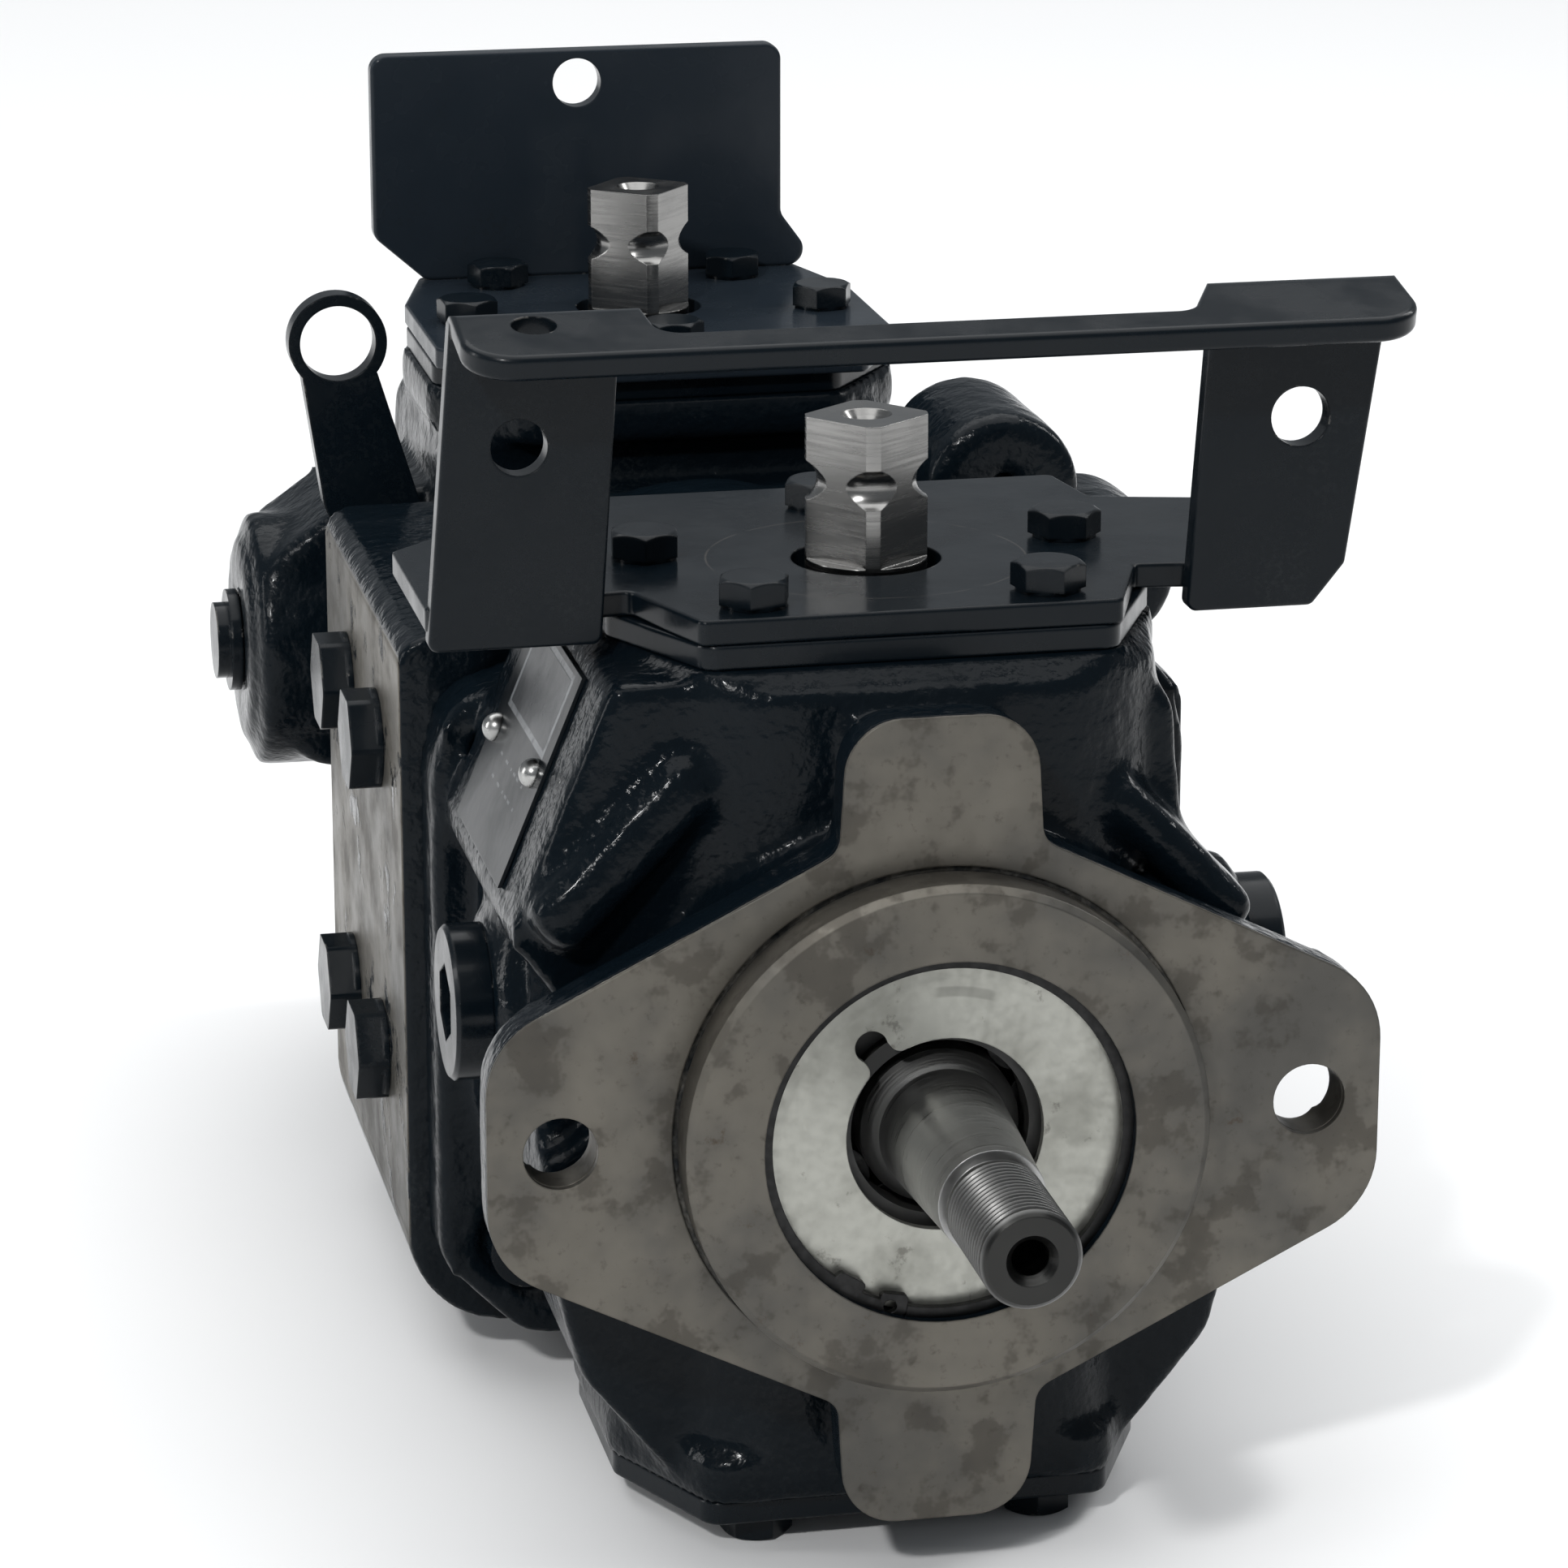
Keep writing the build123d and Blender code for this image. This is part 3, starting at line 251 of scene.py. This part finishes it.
def bare_front(s):
    """Flange face, pilot and bolt holes; the bearing bore behind the pilot is kept in the dark paint as
    painted shade in the recess.
    """
    x, y, z = s.axes()
    wobble = s.math("MULTIPLY", s.noise(300.0, 2.0), 1.0 * MM)
    face = s.band(s.math("ADD", y, wobble), 0.9 * MM, 1.6 * MM, 1.0, 0.0)
    hole = None
    for side in (-1, 1):
        near = s.band(s.shaft_radius(side * BOLT_HOLE_X), BOLT_HOLE_R, BOLT_HOLE_R + 0.6 * MM, 1.0, 0.0)
        hole = near if hole is None else s.math("MAXIMUM", hole, near)
    ahead = s.band(y, 12.0 * MM, 13.0 * MM, 1.0, 0.0)
    # painted shade: the bore wall behind the pilot front is left out of the bare mask and takes the dark
    # paint
    bore_shade = s.math("MULTIPLY", s.band(s.shaft_radius(), BEARING_BORE_R, BEARING_BORE_R + 0.4 * MM, 1.0, 0.0),
                  s.band(y, PILOT_FRONT_Y, PILOT_FRONT_Y + 0.25 * MM))
    bare = s.math("MAXIMUM", face, s.math("MULTIPLY", hole, ahead))
    return s.math("MULTIPLY", bare, s.math("SUBTRACT", 1.0, bore_shade))


def bare_side(s):
    """Machined left face of the centre section, with paint left in patches."""
    x, y, z = s.axes()
    face = s.band(x, SIDE_FACE_X, SIDE_FACE_X + 0.25 * MM, 1.0, 0.0)
    left = s.band(s.noise(48.0, 5.0, 0.65), 0.36, 0.44)
    return s.math("MULTIPLY", face, left)


def sheet_paint(name, base=PAINT, scribed=None):
    """Smoother paint over flat steel, chipped at the edges; scribed is an arc's radius in the top face."""
    s = Shader(name)
    colour, rough = paint_layers(s, base, 0.17, 0.31)
    worn = s.edge(0.8 * MM, 0.05, 0.3)
    chips = s.math("MULTIPLY", worn, s.band(s.noise(170.0, 5.0, 0.72), 0.60, 0.65))
    if scribed is not None:
        x, y, z = s.axes()
        dy = s.math("SUBTRACT", y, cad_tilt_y("front"))
        r = s.math("SQRT", s.math("ADD", s.math("MULTIPLY", x, x), s.math("MULTIPLY", dy, dy)))
        off = s.math("ABSOLUTE", s.math("SUBTRACT", r, scribed))
        arc = s.math("MULTIPLY", s.band(off, 0.10 * MM, 0.30 * MM, 1.0, 0.0),
                     s.band(z, 97.0 * MM, 98.0 * MM, 1.0, 0.0))
        arc = s.math("MULTIPLY", arc, s.band(s.noise(90.0, 3.0), 0.40, 0.55))
        colour = s.mix(s.math("MULTIPLY", arc, 0.5), colour, (0.06, 0.055, 0.05))
    colour = s.mix(chips, colour, CHIP)
    s.set(Base_Color=colour, Roughness=s.blend(chips, rough, 0.45), Coat_Weight=0.08)
    s.bsdf.inputs["Specular IOR Level"].default_value = SHEET_SHEEN
    s.bsdf.inputs["Coat Roughness"].default_value = 0.09
    s.bump((s.noise(60.0, 2.0, 0.5), 0.25 * MM, 0.35), (s.noise(420.0, 2.0, 0.5), 0.05 * MM, 0.5),
           normal=s.rounded(0.7 * MM))
    return s.mat


def steel(name, base, rough_low, rough_high, lines=(0, 0, 0), line_bump=0.25, stain=0.3, contrast=0.25):
    """Bright machined steel; lines are the noise scales along X, Y and Z that draw the tool marks."""
    s = Shader(name)
    marks = s.noise(1.0, 3.0, 0.6, vector=s.stretched(*lines))
    cloud = s.noise(90.0, 4.0, 0.65)
    dark = tuple(c * 0.45 for c in base)
    colour = s.mix(s.math("MULTIPLY", s.band(cloud, 0.48, 0.72), stain), base, dark)
    colour = s.mix(s.math("MULTIPLY", s.band(marks, 0.35, 0.65), contrast), colour, dark)
    s.set(Base_Color=colour, Metallic=1.0, Roughness=s.band(marks, 0.3, 0.7, rough_low, rough_high))
    s.bump((marks, 0.02 * MM, line_bump), (s.noise(700.0), 0.01 * MM, 0.2), normal=s.rounded(0.35 * MM))
    return s.mat


def shaft_skin(name):
    """Turned satin steel; the thread and the end face are darker, and the thread's grooves are darkest as
    painted shade in the grooves.
    """
    s = Shader(name)
    x, y, z = s.axes()
    marks = s.noise(1.0, 3.0, 0.6, vector=s.stretched(60, 2600, 60))
    cloud = s.noise(90.0, 4.0, 0.65)
    blotch = s.math("MULTIPLY", s.band(cloud, 0.45, 0.75), 0.35)
    colour = s.mix(blotch, (0.38, 0.38, 0.375), (0.18, 0.18, 0.178))
    thread = s.band(y, THREAD_END_Y, THREAD_END_Y + 0.4 * MM, 1.0, 0.0)
    # painted shade: colour between the thread's root and crest is darkened as shade inside the grooves
    groove_shade = s.math("MULTIPLY", thread, s.band(s.shaft_radius(), THREAD_ROOT_R, THREAD_CREST_R, 1.0, 0.0))
    colour = s.mix(s.math("MULTIPLY", thread, 0.9), colour, (0.092, 0.092, 0.090))
    colour = s.mix(s.math("MULTIPLY", groove_shade, 0.85), colour, (0.022, 0.022, 0.021))
    s.set(Base_Color=colour, Metallic=1.0, Roughness=s.band(marks, 0.3, 0.7, 0.27, 0.40))
    s.bump((marks, 0.02 * MM, 0.2), (s.noise(700.0), 0.01 * MM, 0.2), normal=s.rounded(0.35 * MM))
    return s.mat


def washer_zinc(name):
    """Grey zinc of the seal washer, with scratches, stains and one darker arc near the top."""
    s = Shader(name)
    cloud = s.noise(60.0, 4.0, 0.6)
    fine = s.noise(500.0, 3.0, 0.6)
    colour = s.mix(s.band(cloud, 0.4, 0.7), (0.37, 0.37, 0.335), (0.26, 0.26, 0.232))
    spots = s.band(s.noise(140.0, 5.0, 0.7), 0.60, 0.70)
    colour = s.mix(s.math("MULTIPLY", spots, 0.55), colour, (0.072, 0.066, 0.056))
    ring = s.math("ABSOLUTE", s.math("SUBTRACT", s.shaft_radius(), DARK_ARC_R))
    x, y, z = s.axes()
    arc = s.math("MULTIPLY", s.band(ring, 0.7 * MM, 1.3 * MM, 1.0, 0.0), s.band(z, 25.0 * MM, 26.5 * MM))
    arc = s.math("MULTIPLY", arc, s.band(x, -3.0 * MM, -1.0 * MM))
    arc = s.math("MULTIPLY", arc, s.band(x, 8.0 * MM, 10.0 * MM, 1.0, 0.0))
    colour = s.mix(s.math("MULTIPLY", arc, 0.35), colour, (0.09, 0.09, 0.08))
    s.set(Base_Color=colour, Metallic=0.8, Roughness=s.band(fine, 0.3, 0.7, 0.30, 0.46))
    s.bump((fine, 0.03 * MM, 0.35), normal=s.rounded(0.3 * MM))
    return s.mat


def rubber(name):
    s = Shader(name)
    s.set(Base_Color=s.mix(s.noise(200.0), (0.008, 0.008, 0.008), (0.022, 0.022, 0.02)),
          Roughness=s.band(s.noise(120.0), 0.3, 0.7, 0.4, 0.6))
    s.bump((s.noise(900.0), 0.03 * MM, 0.4))
    return s.mat


def window(s, value, low, high, soft=0.3 * MM):
    """1 where value lies between low and high."""
    return s.math("MULTIPLY", s.band(value, low, low + soft), s.band(value, high - soft, high, 1.0, 0.0))


def nameplate_skin(name):
    """Overpainted metal plate with one light frame and plain rules, no lettering."""
    s = Shader(name)
    x, y, z = s.axes()
    colour, rough = paint_layers(s, PAINT, 0.14, 0.26)
    colour = s.mix(0.4, colour, (0.016, 0.017, 0.018))
    outer = s.math("MULTIPLY", window(s, z, 62.0 * MM, 78.6 * MM), window(s, y, 50.0 * MM, 91.0 * MM))
    inner = s.math("MULTIPLY", window(s, z, 63.2 * MM, 77.4 * MM), window(s, y, 51.6 * MM, 89.4 * MM))
    worn = s.band(s.noise(240.0, 3.0, 0.6), 0.30, 0.52, 0.35, 0.8)
    colour = s.mix(s.math("MULTIPLY", outer, worn), colour, (0.24, 0.25, 0.26))
    colour = s.mix(s.math("MULTIPLY", inner, 0.85), colour, (0.040, 0.042, 0.045))
    for height in (50.0, 54.5):
        dash = s.math("MULTIPLY", window(s, z, height * MM, (height + 0.9) * MM),
                      s.band(s.noise(1.0, 0.0, 0.5, vector=s.stretched(0, 330, 0)), 0.52, 0.55))
        dash = s.math("MULTIPLY", dash, window(s, y, 56.0 * MM, 84.0 * MM))
        colour = s.mix(s.math("MULTIPLY", dash, 0.45), colour, (0.20, 0.21, 0.22))
    s.set(Base_Color=colour, Roughness=rough, Coat_Weight=0.03, Coat_Roughness=0.1)
    s.bsdf.inputs["Specular IOR Level"].default_value = PLATE_SHEEN
    s.bump((s.noise(350.0, 2.0), 0.05 * MM, 0.5), (inner, 0.1 * MM, 0.2), normal=s.rounded(0.3 * MM))
    return s.mat


def bronze(name):
    s = Shader(name)
    cloud = s.noise(120.0, 4.0, 0.6)
    s.set(Base_Color=s.mix(cloud, (0.55, 0.34, 0.14), (0.38, 0.22, 0.09)), Metallic=1.0,
          Roughness=s.band(cloud, 0.3, 0.7, 0.22, 0.4))
    s.bump((s.noise(600.0), 0.02 * MM, 0.3), normal=s.rounded(0.3 * MM))
    return s.mat


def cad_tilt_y(side):
    """Place of a pump's tilt axis along the shaft."""
    return JOINTS[side + "_swash_tilt"]["pos_m"][1]


CAST = cast_paint("cast_paint")
CAST_FRONT = cast_paint("cast_paint_front", bare_front)
CAST_CENTRE = cast_paint("cast_paint_centre", bare_side)
SHEET = sheet_paint("sheet_paint")
SHEET_FRONT = sheet_paint("sheet_paint_front", PAINT, 31.5 * MM)
SHEET_REAR = sheet_paint("sheet_paint_rear", PAINT_BLUE)
SHAFT_STEEL = shaft_skin("shaft_steel")
POST_STEEL = steel("post_steel", (0.25, 0.247, 0.24), 0.18, 0.30, (60, 60, 1400), 0.04, 0.2, 0.08)
PLAIN_STEEL = steel("ground_steel", (0.42, 0.42, 0.41), 0.2, 0.35, (500, 500, 500))
DARK_STEEL = steel("dark_steel", (0.03, 0.03, 0.03), 0.3, 0.45, (500, 500, 500))
POLISHED = steel("polished_steel", (0.6, 0.6, 0.6), 0.08, 0.2, (60, 2600, 60), 0.1, 0.1)
ZINC = washer_zinc("zinc")
RUBBER = rubber("seal_rubber")
LABEL = nameplate_skin("nameplate_skin")
BRONZE = bronze("bearing_bronze")

FINISH = {
    "front_housing": CAST_FRONT, "center_section": CAST_CENTRE,
    "rear_housing": CAST, "charge_pump_cover": CAST,
    "trunnion_covers": SHEET, "cover_bolts": SHEET, "housing_bolts": SHEET, "front_bracket": SHEET_FRONT,
    "rear_bracket": SHEET_REAR, "lifting_eye": SHEET, "nameplate": LABEL, "nameplate_rivets": PLAIN_STEEL,
    "shaft_seal": RUBBER, "seal_washer": ZINC, "retaining_ring": DARK_STEEL, "front_bearing": DARK_STEEL,
    "valve_plates": BRONZE, "relief_valve_plugs": SHEET, "side_plugs": SHEET, "trunnion_bushings": BRONZE,
    "drive_shaft": SHAFT_STEEL, "rear_shaft": SHAFT_STEEL, "front_cylinder_block": PLAIN_STEEL,
    "rear_cylinder_block": PLAIN_STEEL, "block_springs": DARK_STEEL, "ball_guides": PLAIN_STEEL,
    "gerotor_inner": DARK_STEEL, "gerotor_outer": DARK_STEEL, "front_swashplate": POST_STEEL,
    "rear_swashplate": POST_STEEL,
    "front_slipper_retainer": PLAIN_STEEL, "rear_slipper_retainer": PLAIN_STEEL,
}


def finish_of(name):
    if name in FINISH:
        return FINISH[name]
    return BRONZE if "slipper" in name else POLISHED


for node_name, node_object in NODES.items():
    node_object.data.materials.clear()
    node_object.data.materials.append(finish_of(node_name))


# ---------------------------------------------------------------- castings
VOXEL = 1.15 * MM
SMOOTH_SIGMA = 2.3 * MM
MOST_FACES = 165000


def welded_copy(node, name):
    mesh = NODES[node].data.copy()
    edit = bmesh.new()
    edit.from_mesh(mesh)
    bmesh.ops.remove_doubles(edit, verts=edit.verts, dist=2e-6)
    edit.to_mesh(mesh)
    edit.free()
    mesh.materials.clear()
    piece = bpy.data.objects.new(name, mesh)
    bpy.context.scene.collection.objects.link(piece)
    return piece


def apply_modifier(piece, kind, **settings):
    """Add a modifier, keep its result as the piece's mesh, and take it off again."""
    modifier = piece.modifiers.new(kind.lower(), kind)
    for key, value in settings.items():
        setattr(modifier, key, value)
    graph = bpy.context.evaluated_depsgraph_get()
    result = bpy.data.meshes.new_from_object(piece.evaluated_get(graph))
    piece.modifiers.clear()
    old = piece.data
    piece.data = result
    bpy.data.meshes.remove(old)


def half_space(y0, y1):
    """A box across the whole object between two planes of Y."""
    mesh = bpy.data.meshes.new("half_space")
    r = 0.4
    corners = [(x, y, z) for y in (y0, y1) for x, z in ((-r, -r), (r, -r), (r, r), (-r, r))]
    faces = [(0, 1, 2, 3), (7, 6, 5, 4), (0, 4, 5, 1), (1, 5, 6, 2), (2, 6, 7, 3), (3, 7, 4, 0)]
    mesh.from_pydata(corners, [], faces)
    tool = bpy.data.objects.new("half_space", mesh)
    bpy.context.scene.collection.objects.link(tool)
    return tool


def keep_between(piece, y0, y1):
    tool = half_space(y0, y1)
    apply_modifier(piece, "BOOLEAN", object=tool, operation="INTERSECT", solver="MANIFOLD")
    mesh = tool.data
    bpy.data.objects.remove(tool)
    bpy.data.meshes.remove(mesh)


def points_of(mesh):
    flat = np.empty(len(mesh.vertices) * 3)
    mesh.vertices.foreach_get("co", flat)
    return flat.reshape(-1, 3)


def relax(mesh, weight, sigma):
    """Laplacian smoothing to a width of about sigma, held back where weight is low."""
    ends = np.empty(len(mesh.edges) * 2, np.int64)
    mesh.edges.foreach_get("vertices", ends)
    a, b = ends[0::2], ends[1::2]
    points = points_of(mesh)
    count = len(points)
    degree = np.maximum(np.bincount(a, minlength=count) + np.bincount(b, minlength=count), 1)
    rounds = int(round(4.0 * (sigma / VOXEL) ** 2))
    for _ in range(rounds):
        total = np.empty_like(points)
        for axis in range(3):
            total[:, axis] = np.bincount(a, points[b, axis], count) + np.bincount(b, points[a, axis], count)
        points += 0.5 * weight[:, None] * (total / degree[:, None] - points)
    return points


def sand_surface(mesh, points, weight):
    """Push the surface in and out a little, as sand moulding leaves it."""
    normals = np.empty(len(mesh.vertices) * 3)
    mesh.vertices.foreach_get("normal", normals)
    normals = normals.reshape(-1, 3)
    height = np.empty(len(points))
    for i, p in enumerate(points):
        v = Vector(p)
        height[i] = 0.16 * noise.noise(v * 75.0) + 0.08 * noise.noise(v * 230.0)
    inward = np.minimum(height, 0.1) - 0.06
    return points + normals * (inward * weight * MM)[:, None]


def ramp(values, low, high):
    return np.clip((values - low) / (high - low), 0.0, 1.0)


def casting(node, name, weight_of):
    """A casting with rounded corners, made from the CAD node; weight_of says where it may be softened."""
    piece = welded_copy(node, name)
    apply_modifier(piece, "REMESH", mode="VOXEL", voxel_size=VOXEL, adaptivity=0.0)
    mesh = piece.data
    weight = weight_of(points_of(mesh))
    points = relax(mesh, weight, SMOOTH_SIGMA)
    mesh.vertices.foreach_set("co", points.ravel())
    mesh.update()
    points = sand_surface(mesh, points, weight)
    mesh.vertices.foreach_set("co", points.ravel())
    mesh.update()
    faces = 2 * len(mesh.polygons)
    if faces > MOST_FACES:
        apply_modifier(piece, "DECIMATE", ratio=MOST_FACES / faces)
    finish_piece(piece, node)
    return piece


def finish_piece(piece, node):
    mesh = piece.data
    mesh.materials.clear()
    mesh.materials.append(finish_of(node))
    mesh.polygons.foreach_set("use_smooth", np.ones(len(mesh.polygons), bool))
    mesh.update()
    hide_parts(node)
    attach(piece, "pump_body")


def case_weight(points, tilt_y, joint_y, end_y, pad_z, boss_x):
    """Where a pump case is cast: outside its bores, and off its machined faces."""
    x, y, z = points.T
    out = ramp(np.hypot(x, z), 52.5 * MM, 54.0 * MM)
    out *= ramp(np.hypot(x, y - tilt_y), 18.6 * MM, 20.0 * MM)
    out *= ramp(pad_z - np.abs(z), 0.2 * MM, 1.0 * MM)
    out *= ramp(np.abs(y - joint_y), 0.4 * MM, 2.5 * MM)
    out *= ramp(np.abs(y - end_y), 0.4 * MM, 2.5 * MM)
    out *= ramp(np.abs(boss_x - np.abs(x)), 0.2 * MM, 1.0 * MM)
    return out


FRONT_TILT, REAR_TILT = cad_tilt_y("front"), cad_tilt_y("rear")
JOINT_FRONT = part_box("center_section")[0].y
JOINT_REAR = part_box("center_section")[1].y
PAD_Z = 85.0 * MM
BOSS_X = 77.0 * MM
FACE_CUT = 1.5 * MM


def front_weight(points):
    away = ramp(points[:, 1], 2.5 * MM, 6.5 * MM)
    return away * case_weight(points, FRONT_TILT, JOINT_FRONT, JOINT_FRONT, PAD_Z, BOSS_X)


def rear_weight(points):
    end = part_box("charge_pump_cover")[0].y
    return case_weight(points, REAR_TILT, JOINT_REAR, end, PAD_Z, BOSS_X)


def centre_weight(points):
    x, y, z = points.T
    out = ramp(np.hypot(x, z), 38.0 * MM, 40.0 * MM)
    for plane in (JOINT_FRONT, JOINT_REAR):
        out *= ramp(np.abs(y - plane), 0.3 * MM, 2.2 * MM)
    out *= ramp(x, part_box("center_section")[0].x + 0.3 * MM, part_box("center_section")[0].x + 1.6 * MM)
    return out


front_casting = casting("front_housing", "front_housing_casting", front_weight)
keep_between(front_casting, FACE_CUT, 0.4)
machined_face = welded_copy("front_housing", "front_housing_machined_face")
keep_between(machined_face, -0.4, FACE_CUT)
finish_piece(machined_face, "front_housing")
machined_face.data.polygons.foreach_set("use_smooth", np.zeros(len(machined_face.data.polygons), bool))
casting("center_section", "center_section_casting", centre_weight)
casting("rear_housing", "rear_housing_casting", rear_weight)


# ---------------------------------------------------------------- camera, floor, light
YAW, PITCH = math.radians(11.9172), math.radians(-16.7368)
CAMERA_PLACE = (-0.233871, -0.964570, 0.366242)
LENS_MM = 127.59
camera_data = bpy.data.cameras.new("camera")
camera_data.lens = LENS_MM
camera_data.sensor_width = 36.0
camera_data.clip_end = 50.0
camera = bpy.data.objects.new("camera", camera_data)
bpy.context.scene.collection.objects.link(camera)
camera.location = CAMERA_PLACE
look = Vector((math.sin(YAW) * math.cos(PITCH), math.cos(YAW) * math.cos(PITCH), math.sin(PITCH)))
camera.rotation_euler = look.to_track_quat("-Z", "Y").to_euler()
bpy.context.scene.camera = camera

FLOOR_Z = CAD_BOX[0][2]
FLOOR_HALF = 6.0


def plain_floor():
    mesh = bpy.data.meshes.new("floor")
    r = FLOOR_HALF
    corners = [(x, y, FLOOR_Z) for x, y in ((-r, -r), (r, -r), (r, r), (-r, r))]
    mesh.from_pydata(corners, [], [(0, 1, 2, 3)])
    floor = bpy.data.objects.new("floor", mesh)
    bpy.context.scene.collection.objects.link(floor)
    s = Shader("floor_pale")
    s.set(Base_Color=(0.86, 0.86, 0.86, 1.0), Roughness=0.7)
    floor.data.materials.append(s.mat)


def area_light(name, place, target, size, power, tint=(1.0, 1.0, 1.0)):
    data = bpy.data.lights.new(name, "AREA")
    data.shape = "RECTANGLE"
    data.size, data.size_y = size
    data.energy = power
    data.color = tint
    lamp = bpy.data.objects.new(name, data)
    bpy.context.scene.collection.objects.link(lamp)
    lamp.location = place
    aim = Vector(target) - Vector(place)
    lamp.rotation_euler = aim.to_track_quat("-Z", "Y").to_euler()


plain_floor()
area_light("ceiling", (0.0, 1.2, 3.6), (0.0, 1.2, 0.0), (5.0, 6.0), 190.0)
area_light("key", (-1.0, -1.5, 1.45), (0, 0.06, 0.02), (0.15, 0.15), 24.0)
area_light("side", (-1.7, 0.3, 0.55), (0, 0.15, 0), (0.25, 0.9), 7.0)
area_light("rim", (1.3, 0.5, 1.1), (0.02, 0.1, 0.05), (0.12, 0.9), 8.0)

world = bpy.data.worlds.new("studio")
world.use_nodes = True
sky = world.node_tree.nodes["Background"]
sky.inputs[0].default_value = (0.90, 0.95, 1.0, 1.0)
sky.inputs[1].default_value = 0.28
bpy.context.scene.world = world
bpy.context.scene.view_settings.view_transform = "Standard"
